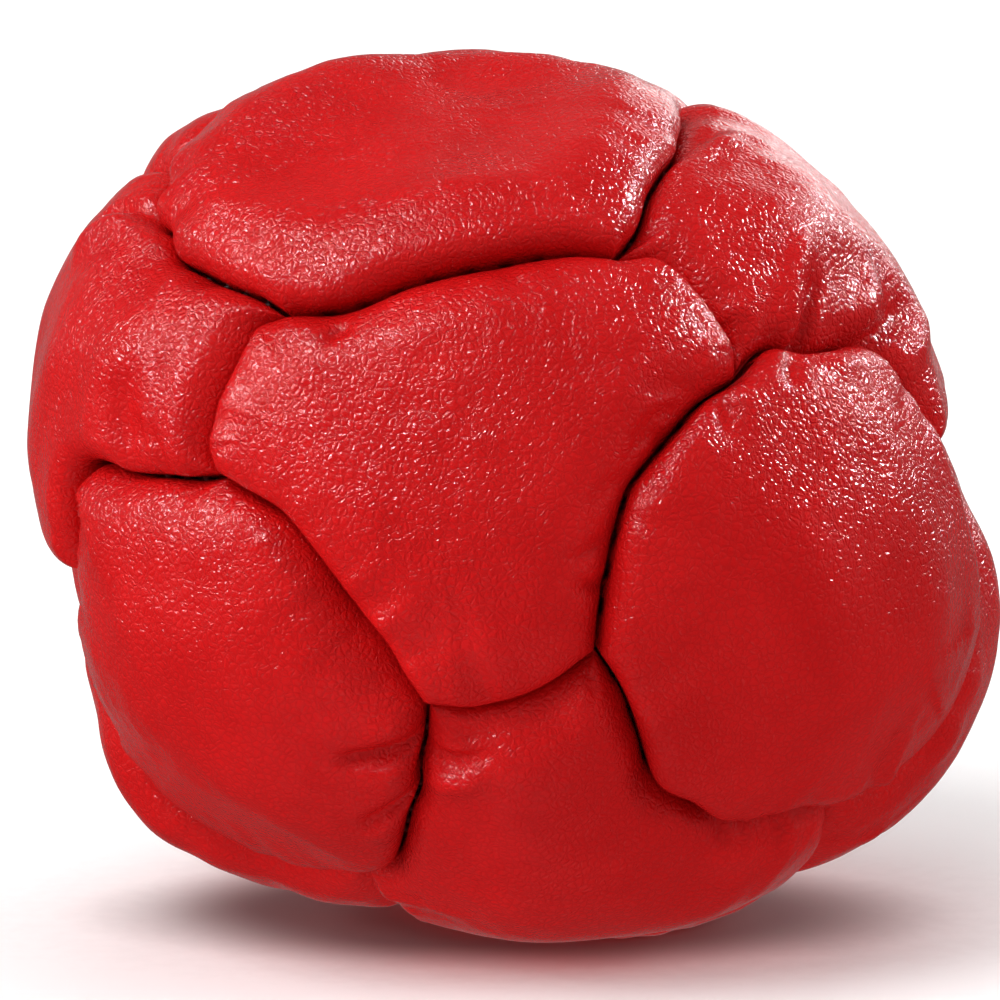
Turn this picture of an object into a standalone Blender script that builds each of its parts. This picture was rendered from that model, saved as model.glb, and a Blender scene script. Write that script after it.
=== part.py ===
"""Footbag of fourteen leather panels, six four-sided and eight six-sided, filled with sand.

Every panel is a domed cap whose edge rolls over a lip and turns in. Neighbouring edges lie side
by side, pointing at the middle of the ball, and a whip stitch holds each pair together.
"""

import math

import bmesh
import bpy
from mathutils import Euler, Vector

# The stuffed ball: half its length, depth and height, and how far its long axis leans to the right
HALF_LENGTH = 0.0282
HALF_DEPTH = 0.0268
HALF_HEIGHT = 0.0252
LEAN = math.radians(27.5)

# How far the sand has settled flat where the ball rests
SETTLED = 0.0015

# Leather: its thickness, the roll at a seam, and the soft shoulder between the roll and the dome
LEATHER = 0.0009
INNER_ROLL = 0.0005
ROLL_MIDDLE = math.radians(45)
SHOULDER_WIDTH = 0.0021
SHOULDER_DROP = 0.0004
SEAM_GAP = 0.0003

# Turned-in edge, and the whip stitch through it
SEAM_ALLOWANCE = 0.0026
THREAD = 0.0005
THREAD_CLEARANCE = 0.0003
LONG_STITCH_COUNT = 4
SHORT_STITCH_COUNT = 2

# Space between the leather and the packed sand
SAND_CLEARANCE = 0.0003

# Where a ring of the dome lies between the shoulder and the panel's middle
OUTER_DOME_SHARES = (0.2, 0.44, 0.7)
INNER_DOME_SHARES = (0.45,)

# A six-sided panel's corner lies between two axes of the net, nearer the first
NEAR_SHARE = 0.836
FAR_SHARE = 0.548

# The net's six axes point at the middles of the four-sided panels
NET_TURN = Euler([math.radians(angle) for angle in (-2.6, 17.8, -133.5)])
AXES = {
    "left": Vector((1, 0, 0)),
    "rear_right": Vector((-1, 0, 0)),
    "right": Vector((0, 1, 0)),
    "rear_left": Vector((0, -1, 0)),
    "top": Vector((0, 0, 1)),
    "base": Vector((0, 0, -1)),
}
HEXAGONS = {
    "front": ("left", "right", "top"),
    "upper_right": ("right", "rear_right", "top"),
    "upper_left": ("rear_left", "left", "top"),
    "upper_rear": ("rear_right", "rear_left", "top"),
    "lower_front": ("right", "left", "base"),
    "lower_right": ("rear_right", "right", "base"),
    "lower_left": ("left", "rear_left", "base"),
    "rear": ("rear_left", "rear_right", "base"),
}

# Corners seen from the front: degrees to the right of the front, and degrees above the middle
SEEN_CORNERS = {
    ("top", "left"): (-35, 33),
    ("top", "right"): (20, 45),
    ("top", "rear_right"): (113, 65),
    ("top", "rear_left"): (-98, 44),
    ("right", "top"): (34, 25),
    ("right", "left"): (11, -8),
    ("right", "base"): (59, -36),
    ("right", "rear_right"): (74, 9),
    ("left", "right"): (-11, -15),
    ("left", "top"): (-39, 12),
    ("left", "base"): (-35, -52),
    ("left", "rear_left"): (-70, -6),
}

# How much of its seen neighbours' shift a hidden corner takes over
PULL_SHARE = 0.6

# How far a seam bows at its quarters, as shares of its length. A seam between a four-sided and a
# six-sided panel bows away from the four-sided one, and the others bow away from the first named.
LONG_BOW_SHARES = (0.10, 0.13, 0.10)
SHORT_BOW_SHARES = (0.0, 0.0, 0.0)
SEEN_BOW_SHARES = {
    ("top", "front"): (0.08, 0.05, 0.02),
    ("top", "upper_right"): (0.02, 0.045, 0.03),
    ("top", "upper_left"): (0.085, 0.10, 0.04),
    ("top", "upper_rear"): (0.0, -0.02, -0.04),
    ("right", "front"): (0.14, 0.20, 0.14),
    ("right", "upper_right"): (0.20, 0.21, 0.11),
    ("right", "lower_front"): (0.13, 0.205, 0.13),
    ("right", "lower_right"): (0.235, 0.315, 0.185),
    ("left", "front"): (0.085, 0.11, 0.115),
    ("left", "lower_front"): (0.06, 0.09, 0.10),
    ("left", "upper_left"): (0.085, 0.19, 0.255),
    ("left", "lower_left"): (0.20, 0.275, 0.20),
    ("front", "upper_right"): (0.11, 0.16, 0.15),
    ("front", "lower_front"): (0.07, 0.08, 0.05),
    ("front", "upper_left"): (0.06, 0.09, 0.08),
}

# How far corners, the middles of seams and those of panels stand out from the plain ball, as shares
# of its radius there. A seam's middle rises above the line between its corners.
CORNER_LIFT_SHARES = {
    ("top", "rear_left"): 0.012,
    ("top", "rear_right"): 0.01,
    ("left", "rear_left"): -0.01,
    ("rear_left", "left"): -0.02,
    ("left", "base"): -0.02,
    ("base", "left"): -0.03,
    ("right", "rear_right"): -0.01,
    ("rear_right", "right"): -0.03,
    ("right", "base"): -0.01,
}
SEAM_LIFT_SHARES = {
    ("left", "lower_left"): 0.035,
    ("right", "lower_right"): 0.02,
}
PANEL_LIFT_SHARES = {
    "lower_left": 0.05,
    "lower_right": 0.05,
    "lower_front": 0.025,
    "upper_left": 0.012,
    "upper_right": 0.04,
    "upper_rear": -0.01,
    "top": -0.075,
    "left": 0.025,
    "right": 0.03,
}

# Widths of the seam's parts that follow from the sizes above
OUTER_ROLL = INNER_ROLL + LEATHER
GROOVE_DEPTH = OUTER_ROLL + SHOULDER_DROP
TIP_DEPTH = GROOVE_DEPTH + SEAM_ALLOWANCE
HOLE_DEPTH = GROOVE_DEPTH + SEAM_ALLOWANCE / 2
HOLE_SIZE = THREAD + 2 * THREAD_CLEARANCE
FACE_INSET = SEAM_GAP / 2
BACK_INSET = FACE_INSET + LEATHER
ROLL_INSET = FACE_INSET + OUTER_ROLL
SHOULDER_INSET = ROLL_INSET + SHOULDER_WIDTH
THREAD_INSET = BACK_INSET + THREAD_CLEARANCE + THREAD / 2
THREAD_DEPTH = TIP_DEPTH + THREAD_CLEARANCE + THREAD / 2
SAND_INSET = THREAD_INSET + THREAD / 2 + THREAD_CLEARANCE
SAND_DEPTH = THREAD_DEPTH + THREAD / 2 + 2 * THREAD_CLEARANCE

LEATHER_COLOUR = (0.58, 0.016, 0.014, 1.0)
THREAD_COLOUR = (0.30, 0.012, 0.012, 1.0)
SAND_COLOUR = (0.55, 0.42, 0.27, 1.0)


def clear_scene():
    for item in list(bpy.context.scene.objects):
        bpy.data.objects.remove(item, do_unlink=True)


def make_material(name, colour, roughness):
    material = bpy.data.materials.new(name)
    material.use_nodes = True
    surface = material.node_tree.nodes["Principled BSDF"]
    surface.inputs["Base Color"].default_value = colour
    surface.inputs["Roughness"].default_value = roughness
    surface.inputs["Metallic"].default_value = 0.0
    return material


def body_radius(direction):
    """Distance from the ball's middle to the plain leaning ellipsoid."""
    upright = direction.copy()
    upright.rotate(Euler((0, -LEAN, 0)))
    x, y, z = upright.x / HALF_LENGTH, upright.y / HALF_DEPTH, upright.z / HALF_HEIGHT
    return 1 / math.sqrt(x * x + y * y + z * z)


def compass(bearing, height):
    """Unit direction, in degrees to the right of the front and above the middle."""
    turn, rise = math.radians(bearing), math.radians(height)
    return Vector((math.sin(turn) * math.cos(rise), -math.cos(turn) * math.cos(rise), math.sin(rise)))


def ideal_corner(near, far):
    direction = AXES[near] * NEAR_SHARE + AXES[far] * FAR_SHARE
    direction.rotate(NET_TURN)
    return direction.normalized()


def joined_corners(near, far):
    """The three corners at the other ends of a corner's seams."""
    beside = [name for name in AXES if AXES[name].dot(AXES[near]) == 0 and AXES[name].dot(AXES[far]) == 0]
    return [(far, near)] + [(near, name) for name in beside]


def corner_direction(corner):
    """A seen corner lies where it is seen, and a hidden one is pulled along by its neighbours."""
    if corner in SEEN_CORNERS:
        return compass(*SEEN_CORNERS[corner])
    seen = [other for other in joined_corners(*corner) if other in SEEN_CORNERS]
    shift = Vector((0, 0, 0))
    for other in seen:
        shift += (compass(*SEEN_CORNERS[other]) - ideal_corner(*other)) / len(seen)
    return (ideal_corner(*corner) + shift * PULL_SHARE).normalized()


def panel_corners(name):
    """Corners of a panel in order, the first to the second being one of its seams."""
    if name in HEXAGONS:
        a, b, c = HEXAGONS[name]
        return [(a, b), (b, a), (b, c), (c, b), (c, a), (a, c)]
    first = next(other for other in AXES if AXES[other].dot(AXES[name]) == 0)
    second = next(other for other in AXES if AXES[name].cross(AXES[first]) == AXES[other])
    across = [next(o for o in AXES if AXES[o] == -AXES[axis]) for axis in (first, second)]
    return [(name, first), (name, second), (name, across[0]), (name, across[1])]


def seams():
    """Each seam once, as {(panel, panel): (start corner, end corner)}."""
    found = {}
    names = list(AXES) + list(HEXAGONS)
    for i, one in enumerate(names):
        for other in names[i + 1 :]:
            shared = [corner for corner in panel_corners(one) if corner in panel_corners(other)]
            if len(shared) == 2:
                key = (one, other)
                if (other, one) in SEEN_BOW_SHARES:
                    key = (other, one)
                found[key] = tuple(shared)
    return found


def bow_at(shares, place):
    """Sideways bow at a place from 0 to 1 along a seam, straight between its quarters."""
    stops = (0.0,) + tuple(shares) + (0.0,)
    step = min(int(place * 4), 3)
    part = place * 4 - step
    return stops[step] * (1 - part) + stops[step + 1] * part


def seam_path(key, ends):
    """Directions along a seam with the outward lift at each, one point more than it has stitches."""
    is_long = key[0] in AXES
    stitches = LONG_STITCH_COUNT if is_long else SHORT_STITCH_COUNT
    shares = SEEN_BOW_SHARES.get(key, LONG_BOW_SHARES if is_long else SHORT_BOW_SHARES)
    start, end = (corner_direction(corner) for corner in ends)
    lifts = [CORNER_LIFT_SHARES.get(corner, 0.0) for corner in ends]
    middle_lift = SEAM_LIFT_SHARES.get(key, 0.0)
    away = start.cross(end).normalized()
    if away.dot(panel_middle(key[0])) > 0:
        away.negate()
    angle = start.angle(end)
    points = []
    for index in range(stitches + 1):
        place = index / stitches
        along = start * math.sin((1 - place) * angle) + end * math.sin(place * angle)
        direction = (along / math.sin(angle) + away * bow_at(shares, place) * angle).normalized()
        lift = lifts[0] * (1 - place) + lifts[1] * place
        points.append((direction, lift + middle_lift * math.sin(math.pi * place) ** 2))
    return points


def panel_middle(name):
    """Direction of the middle of a panel's corners."""
    total = Vector((0, 0, 0))
    for corner in panel_corners(name):
        total += corner_direction(corner)
    return total.normalized()


def panel_outline(name, paths):
    """The panel's edge as (direction, lift) points in order, round its corners."""
    corners = panel_corners(name)
    outline = []
    for index, start in enumerate(corners):
        end = corners[(index + 1) % len(corners)]
        for ends, path in paths:
            if ends == (start, end):
                outline += path[:-1]
            elif ends == (end, start):
                outline += path[:0:-1]
    return outline


def edge_normals(outline, middle):
    """For each stretch of the outline, the unit normal of its upright plane, pointing inwards."""
    normals = []
    for index, (direction, _) in enumerate(outline):
        following = outline[(index + 1) % len(outline)][0]
        normal = direction.cross(following).normalized()
        normals.append(normal if normal.dot(middle) > 0 else -normal)
    return normals


def settle(point, floor):
    """Draws a point that lies below the floor towards the ball's middle, until it lies on it."""
    return point * (floor / point.z) if point.z < floor else point


def edge_ring(outline, normals, inset, depth, floor):
    """Ring of points at one inset from the seams and one depth below the dome."""
    ring = []
    for index, (direction, lift) in enumerate(outline):
        before, after = normals[index - 1], normals[index]
        sideways = (before + after) * (inset / (1 + before.dot(after)))
        toward = (direction * body_radius(direction) + sideways).normalized()
        reach = body_radius(toward) * (1 + lift) - depth
        upward = math.sqrt(max(reach * reach - sideways.length_squared, 0))
        ring.append(settle(sideways + direction * upward, floor))
    return ring


def dome_point(toward, lift, depth, floor):
    direction = toward.normalized()
    return settle(direction * (body_radius(direction) * (1 + lift) - depth), floor)


def dome_rings(name, outline, shoulder, middle, shares, depth, floor):
    """Rings between the shoulder and the panel's middle, and the middle point itself."""
    top_lift = PANEL_LIFT_SHARES.get(name, 0.0)
    rings = []
    for share in shares:
        ring = []
        for (_, edge_lift), point in zip(outline, shoulder):
            toward = point.normalized() * (1 - share) + middle * share
            blend = share * share * (3 - 2 * share)
            ring.append(dome_point(toward, edge_lift * (1 - blend) + top_lift * blend, depth, floor))
        rings.append(ring)
    return rings, dome_point(middle, top_lift, depth, floor)


def add_ring(mesh, points):
    return [mesh.verts.new(point) for point in points]


def join_rings(mesh, lower, upper):
    for index in range(len(lower)):
        after = (index + 1) % len(lower)
        mesh.faces.new((lower[index], lower[after], upper[after], upper[index]))


def close_ring(mesh, ring, middle):
    top = mesh.verts.new(middle)
    for index in range(len(ring)):
        mesh.faces.new((ring[index], ring[(index + 1) % len(ring)], top))


def frame_hole(mesh, wall, hole):
    """Fills a four-sided wall round a four-sided hole in it."""
    for index in range(4):
        after = (index + 1) % 4
        mesh.faces.new((wall[index], wall[after], hole[after], hole[index]))


def stitch_place(outline, index, normal):
    """Middle of a stitch hole on the seam's plane, with its directions along, outward and across."""
    (start, start_lift), (end, end_lift) = outline[index], outline[(index + 1) % len(outline)]
    outward = (start + end).normalized()
    along = (end - start).normalized()
    reach = body_radius(outward) * (1 + (start_lift + end_lift) / 2)
    return reach, along, outward, normal


def hole_corners(mesh, place, inset):
    reach, along, outward, across = place
    middle = outward * (reach - HOLE_DEPTH) + across * inset
    half = HOLE_SIZE / 2
    turns = ((-1, -1), (1, -1), (1, 1), (-1, 1))
    return add_ring(mesh, [middle + along * half * a + outward * half * b for a, b in turns])


def pierce_flange(mesh, outline, normals, face, back):
    """Walls of the turned-in edge, with a hole through both for each stitch.

    face and back are the rings of the front and the back wall, each as (tip, groove).
    """
    for index in range(len(outline)):
        after = (index + 1) % len(outline)
        place = stitch_place(outline, index, normals[index])
        holes = []
        for (tip, groove), inset in ((face, FACE_INSET), (back, BACK_INSET)):
            hole = hole_corners(mesh, place, inset)
            frame_hole(mesh, (tip[index], tip[after], groove[after], groove[index]), hole)
            holes.append(hole)
        join_rings(mesh, holes[0], holes[1])


def finish_object(name, mesh, material):
    bmesh.ops.remove_doubles(mesh, verts=mesh.verts, dist=SEAM_GAP / 100)
    bmesh.ops.recalc_face_normals(mesh, faces=mesh.faces)
    data = bpy.data.meshes.new(name)
    mesh.to_mesh(data)
    mesh.free()
    data.materials.append(material)
    data.shade_smooth()
    data.set_sharp_from_angle(angle=math.radians(50))
    item = bpy.data.objects.new(name, data)
    bpy.context.scene.collection.objects.link(item)
    return item


def build_panel(name, label, outline, floor, material):
    """One leather panel: turned-in edge, roll, shoulder and dome, with its inner side behind."""
    middle = panel_middle(name)
    normals = edge_normals(outline, middle)
    inner_floor = floor + LEATHER
    rise = math.sin(ROLL_MIDDLE)

    def ring(inset, depth, level):
        return edge_ring(outline, normals, inset, depth, level)

    mesh = bmesh.new()
    face_tip = add_ring(mesh, ring(FACE_INSET, TIP_DEPTH, floor))
    face_groove = add_ring(mesh, ring(FACE_INSET, GROOVE_DEPTH, floor))
    roll = ring(ROLL_INSET - OUTER_ROLL * rise, GROOVE_DEPTH - OUTER_ROLL * rise, floor)
    crest = ring(ROLL_INSET, SHOULDER_DROP, floor)
    shoulder = ring(SHOULDER_INSET, 0.0, floor)
    dome, top = dome_rings(name, outline, shoulder, middle, OUTER_DOME_SHARES, 0.0, floor)
    last = face_groove
    for points in [roll, crest, shoulder] + dome:
        upper = add_ring(mesh, points)
        join_rings(mesh, last, upper)
        last = upper
    close_ring(mesh, last, top)

    back_tip = add_ring(mesh, ring(BACK_INSET, TIP_DEPTH, inner_floor))
    back_groove = add_ring(mesh, ring(BACK_INSET, GROOVE_DEPTH, inner_floor))
    join_rings(mesh, face_tip, back_tip)
    inner_crest = ring(ROLL_INSET, SHOULDER_DROP + LEATHER, inner_floor)
    inner_shoulder = ring(SHOULDER_INSET, LEATHER, inner_floor)
    inner_dome, inner_top = dome_rings(
        name, outline, inner_shoulder, middle, INNER_DOME_SHARES, LEATHER, inner_floor
    )
    last = back_groove
    for points in [inner_crest, inner_shoulder] + inner_dome:
        upper = add_ring(mesh, points)
        join_rings(mesh, last, upper)
        last = upper
    close_ring(mesh, last, inner_top)
    pierce_flange(mesh, outline, normals, (face_tip, face_groove), (back_tip, back_groove))
    return finish_object(label, mesh, material)


def build_thread(key, path, material):
    """Whip stitch: up one side, through both leathers, down the other side and on to the next."""
    middle = panel_middle(key[0])
    route = []
    for index in range(len(path) - 1):
        normal = path[index][0].cross(path[index + 1][0]).normalized()
        if normal.dot(middle) < 0:
            normal.negate()
        reach, _, outward, across = stitch_place(path, index, normal)
        low = outward * (reach - THREAD_DEPTH)
        high = outward * (reach - HOLE_DEPTH)
        aside = across * THREAD_INSET
        route += [low + aside, high + aside, high - aside, low - aside]
    curve = bpy.data.curves.new("stitching_%s_%s" % key, "CURVE")
    curve.dimensions = "3D"
    curve.bevel_depth = THREAD / 2
    curve.bevel_resolution = 0
    curve.use_fill_caps = True
    spline = curve.splines.new("POLY")
    spline.points.add(len(route) - 1)
    for target, point in zip(spline.points, route):
        target.co = (*point, 1)
    curve.materials.append(material)
    item = bpy.data.objects.new(curve.name, curve)
    bpy.context.scene.collection.objects.link(item)
    return item


def build_sand(outlines, floor, material):
    """Packed sand: one body with a mound under every dome and channels under the stitching."""
    level = floor + LEATHER + SAND_CLEARANCE
    gap = LEATHER + SAND_CLEARANCE
    mesh = bmesh.new()
    for name, outline in outlines.items():
        middle = panel_middle(name)
        normals = edge_normals(outline, middle)
        part = (SAND_INSET - ROLL_INSET) / SHOULDER_WIDTH
        rim_depth = gap + SHOULDER_DROP * (1 - min(max(part, 0), 1))
        shoulder = edge_ring(outline, normals, max(SHOULDER_INSET, SAND_INSET + SAND_CLEARANCE), gap, level)
        dome, top = dome_rings(name, outline, shoulder, middle, INNER_DOME_SHARES, gap, level)
        last = add_ring(mesh, edge_ring(outline, normals, 0.0, SAND_DEPTH, level))
        for points in [
            edge_ring(outline, normals, SAND_INSET, SAND_DEPTH, level),
            edge_ring(outline, normals, SAND_INSET, rim_depth + SAND_CLEARANCE, level),
            shoulder,
        ] + dome:
            upper = add_ring(mesh, points)
            join_rings(mesh, last, upper)
            last = upper
        close_ring(mesh, last, top)
    return finish_object("sand_filling", mesh, material)


def place_on_ground(items, floor):
    """Moves the ball so that it stands on the ground, with its box centred on the origin."""
    bpy.context.view_layer.update()
    corners = [Vector(corner) for item in items for corner in item.bound_box]
    across = [corner.x for corner in corners]
    along = [corner.y for corner in corners]
    shift = Vector((-(min(across) + max(across)) / 2, -(min(along) + max(along)) / 2, -floor))
    for item in items:
        item.location = shift


def build():
    clear_scene()
    leather = {}
    for name in list(AXES) + list(HEXAGONS):
        leather[name] = make_material("leather_" + name, LEATHER_COLOUR, 0.32)
    thread_material = make_material("stitching_thread", THREAD_COLOUR, 0.7)
    sand_material = make_material("sand", SAND_COLOUR, 0.9)

    paths = {key: seam_path(key, ends) for key, ends in seams().items()}
    ended = [(ends, paths[key]) for key, ends in seams().items()]
    outlines = {name: panel_outline(name, ended) for name in list(AXES) + list(HEXAGONS)}
    lowest = -math.hypot(HALF_LENGTH * math.sin(LEAN), HALF_HEIGHT * math.cos(LEAN))
    floor = lowest + SETTLED

    items = []
    for name, outline in outlines.items():
        label = name + ("_square" if name in AXES else "_hexagon")
        items.append(build_panel(name, label, outline, floor, leather[name]))
    for key, path in paths.items():
        items.append(build_thread(key, path, thread_material))
    items.append(build_sand(outlines, floor, sand_material))
    place_on_ground(items, floor)


build()
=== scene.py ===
# Looks of a sewn leather footbag: fourteen domed panels with tucked seams, their stitching and the sand
import math

import bmesh
import bpy
import numpy as np
from mathutils import Euler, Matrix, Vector


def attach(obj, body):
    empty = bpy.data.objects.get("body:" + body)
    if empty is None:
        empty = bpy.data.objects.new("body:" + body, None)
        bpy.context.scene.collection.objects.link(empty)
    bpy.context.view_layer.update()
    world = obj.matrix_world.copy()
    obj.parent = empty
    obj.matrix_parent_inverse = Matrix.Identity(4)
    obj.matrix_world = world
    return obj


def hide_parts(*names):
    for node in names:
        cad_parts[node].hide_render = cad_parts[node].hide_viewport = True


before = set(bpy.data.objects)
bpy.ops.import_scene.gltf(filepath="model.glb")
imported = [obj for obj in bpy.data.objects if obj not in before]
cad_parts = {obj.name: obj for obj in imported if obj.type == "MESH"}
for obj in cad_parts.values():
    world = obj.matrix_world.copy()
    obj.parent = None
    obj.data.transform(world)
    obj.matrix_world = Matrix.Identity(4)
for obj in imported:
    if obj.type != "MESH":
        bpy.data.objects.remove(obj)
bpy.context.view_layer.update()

# The stuffed ball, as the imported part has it: half its sizes, its lean, and where its middle lies
HALF_LENGTH = 0.0282
HALF_DEPTH = 0.0268
HALF_HEIGHT = 0.0252
LEAN = math.radians(27.5)
SETTLED = 0.0015
FLOOR = SETTLED - math.hypot(HALF_LENGTH * math.sin(LEAN), HALF_HEIGHT * math.cos(LEAN))
BALL_MIDDLE = np.array((-0.000412, 0.0, -FLOOR))

# Leather, its roll at a seam, the turned-in edge and the thread
LEATHER = 0.0009
SEAM_GAP_SHARE = 0.011
BACK_SHARE = 0.105
LIP_WIDTH = 0.0017
LIP_DEPTH = 0.0017
INNER_ROLL = 0.0005
SHOULDER_WIDTH = 0.0045
SHOULDER_DROP = 0.0006
CROWN_START = 0.0034
TIP_DEPTH = 0.0048
HOLE_DEPTH = 0.0036
HOLE_SIZE = 0.0009
THREAD = 0.0005
THREAD_CLEARANCE = 0.0003
STITCH_START = 0.0024
STITCH_BEND = 0.0004
LONG_STITCH_COUNT = 8
SHORT_STITCH_COUNT = 4
SAND_CLEARANCE = 0.0003

# Steps of a panel's net from a seam to its middle, and how much closer they lie at the seam
STEP_COUNT = 60
SEAM_CLOSENESS = 0.30

# Net of the panels: where its corners lie between the axes of the four-sided panels, and its turn
NEAR_SHARE = 0.836
FAR_SHARE = 0.548
NET_TURN = Euler([math.radians(angle) for angle in (-2.6, 17.8, -133.5)])
AXES = {
    "left": Vector((1, 0, 0)),
    "rear_right": Vector((-1, 0, 0)),
    "right": Vector((0, 1, 0)),
    "rear_left": Vector((0, -1, 0)),
    "top": Vector((0, 0, 1)),
    "base": Vector((0, 0, -1)),
}
HEXAGONS = {
    "front": ("left", "right", "top"),
    "upper_right": ("right", "rear_right", "top"),
    "upper_left": ("rear_left", "left", "top"),
    "upper_rear": ("rear_right", "rear_left", "top"),
    "lower_front": ("right", "left", "base"),
    "lower_right": ("rear_right", "right", "base"),
    "lower_left": ("left", "rear_left", "base"),
    "rear": ("rear_left", "rear_right", "base"),
}
PANELS = list(AXES) + list(HEXAGONS)

# Corners seen from the front: degrees to the right of the front, and degrees above the middle
SEEN_CORNERS = {
    ("top", "left"): (-35, 33),
    ("top", "right"): (19.3, 44),
    ("top", "rear_right"): (113, 65),
    ("top", "rear_left"): (-84, 45.5),
    ("right", "top"): (34, 25),
    ("right", "left"): (11, -8),
    ("right", "base"): (57, -34.5),
    ("right", "rear_right"): (72, 9),
    ("left", "right"): (-11, -15),
    ("left", "top"): (-39, 12),
    ("left", "base"): (-33, -50.5),
    ("left", "rear_left"): (-70, -6),
}
PULL_SHARE = 0.6

# Sideways bow at each eighth of a seam, as shares of its length, away from the first panel named
LONG_BOW_SHARES = (0.06, 0.10, 0.12, 0.13, 0.12, 0.10, 0.06)
SHORT_BOW_SHARES = (0.01, 0.01, 0.0, -0.01, 0.0, 0.01, 0.01)
SEEN_BOW_SHARES = {
    ("top", "front"): (0.035, 0.04, 0.02, 0.005, -0.005, -0.02, -0.02),
    ("top", "upper_right"): (0.028, 0.021, 0.031, 0.046, 0.039, 0.03, 0.029),
    ("top", "upper_left"): (0.03, 0.08, 0.115, 0.15, 0.12, 0.13, 0.05),
    ("top", "upper_rear"): (0.05, 0.10, 0.14, 0.15, 0.12, 0.08, 0.03),
    ("right", "front"): (0.065, 0.115, 0.155, 0.18, 0.155, 0.12, 0.08),
    ("right", "upper_right"): (0.10, 0.19, 0.245, 0.24, 0.18, 0.15, 0.14),
    ("right", "lower_front"): (0.04, 0.11, 0.18, 0.18, 0.17, 0.10, 0.03),
    ("right", "lower_right"): (0.18, 0.28, 0.30, 0.29, 0.265, 0.18, 0.09),
    ("left", "front"): (0.042, 0.086, 0.098, 0.111, 0.123, 0.115, 0.063),
    ("left", "lower_front"): (0.035, 0.056, 0.087, 0.085, 0.094, 0.103, 0.094),
    ("left", "upper_left"): (0.04, 0.095, 0.15, 0.23, 0.30, 0.285, 0.155),
    ("left", "lower_left"): (0.16, 0.24, 0.30, 0.345, 0.325, 0.255, 0.16),
    ("front", "upper_right"): (0.092, 0.13, 0.15, 0.165, 0.17, 0.16, 0.12),
    ("front", "lower_front"): (0.04, 0.07, 0.08, 0.08, 0.07, 0.05, 0.03),
    ("front", "upper_left"): (0.11, 0.11, 0.115, 0.12, 0.13, 0.115, 0.09),
}
SEAM_LIFT_SHARES = {("left", "lower_left"): 0.035, ("right", "lower_right"): 0.02}
CORNER_LIFT_SHARES = {
    ("top", "rear_left"): 0.012,
    ("top", "rear_right"): 0.01,
    ("left", "rear_left"): -0.01,
    ("rear_left", "left"): -0.02,
    ("left", "base"): -0.02,
    ("base", "left"): -0.03,
    ("right", "rear_right"): -0.01,
    ("rear_right", "right"): -0.03,
    ("right", "base"): -0.01,
}
PANEL_LIFT_SHARES = {
    "lower_left": 0.03,
    "lower_right": 0.05,
    "lower_front": 0.025,
    "upper_left": 0.012,
    "upper_right": 0.04,
    "upper_rear": -0.01,
    "top": -0.075,
    "left": 0.025,
    "right": 0.03,
}

# How far one panel's edge lies over its neighbour's, in millimetres, as (panel above, panel below)
SEAM_LEANS = {
    ("top", "upper_left"): 0.12,
    ("top", "front"): 0.45,
    ("top", "upper_right"): 0.30,
    ("front", "upper_left"): 0.25,
    ("front", "upper_right"): 0.40,
    ("front", "left"): 0.35,
    ("front", "lower_front"): 0.35,
    ("right", "front"): 0.40,
    ("right", "upper_right"): 0.30,
    ("right", "lower_front"): 0.45,
    ("right", "lower_right"): 0.45,
    ("upper_left", "left"): 0.40,
    ("left", "lower_front"): 0.20,
    ("left", "lower_left"): 0.45,
}
USUAL_LEAN = 0.35
LEAN_REACH = 0.0026
LEAN_WAVE = 0.006
LEAN_WAVE_SHARE = 0.35
LEAN_FADE = 0.0030

# How far an edge stands above the ball where it lies over its neighbour, and below where it lies under
UPPER_EDGE_SHARE = 0.55
LOWER_EDGE_SHARE = -1.0
EDGE_REACH = 0.0023

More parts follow.
